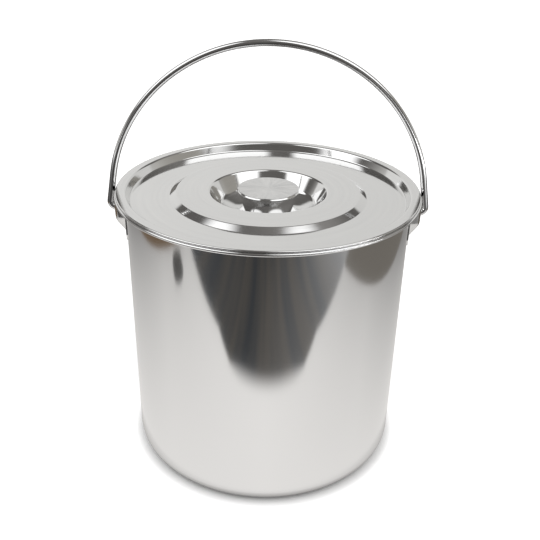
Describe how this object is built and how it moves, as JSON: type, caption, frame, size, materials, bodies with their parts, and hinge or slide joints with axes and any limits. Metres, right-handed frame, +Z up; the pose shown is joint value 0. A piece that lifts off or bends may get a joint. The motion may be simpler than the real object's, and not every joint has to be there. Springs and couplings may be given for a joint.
{
  "type": "bucket with lid",
  "caption": "Straight-sided stainless steel bucket with a swinging wire bail and a drop-in lid, whose knob sits in a finger dish.",
  "frame": {"origin": "middle of the standing ring, on the floor under the bucket's axis", "axes": "+Z up along the bucket's axis; +X along the bail's pivot line towards the right ear; -Y towards the front"},
  "size_m": [0.2994, 0.2788, 0.3934],
  "materials": {
    "bucket_steel": "polished, with faint brush lines around the wall",
    "ear_steel": "satin",
    "bail_steel": "polished drawn wire",
    "lid_steel": "polished",
    "knob_steel": "turned top, polished cone",
    "fastener_steel": "plain bright"
  },
  "bodies": {
    "bucket": {"bucket_shell": "bucket_steel", "ear_left": "ear_steel", "ear_right": "ear_steel"},
    "bail": {"bail_wire": "bail_steel"},
    "lid": {"lid_panel": "lid_steel", "knob_bowl": "knob_steel", "knob_cap": "knob_steel", "knob_nut": "fastener_steel", "knob_screw": "fastener_steel", "knob_washer": "fastener_steel", "knob_spring_washer": "fastener_steel"}
  },
  "joints": [
    {"name": "bail_swing", "type": "hinge", "parent": "bucket", "child": "bail", "pos_m": [0, 0, 0.2395], "axis": [1, 0, 0], "range_deg": [-117, 117]},
    {"name": "lid_lift", "type": "slide", "parent": "bucket", "child": "lid", "axis": [0, 0, 1], "range_m": [0, 0.005]}
  ]
}
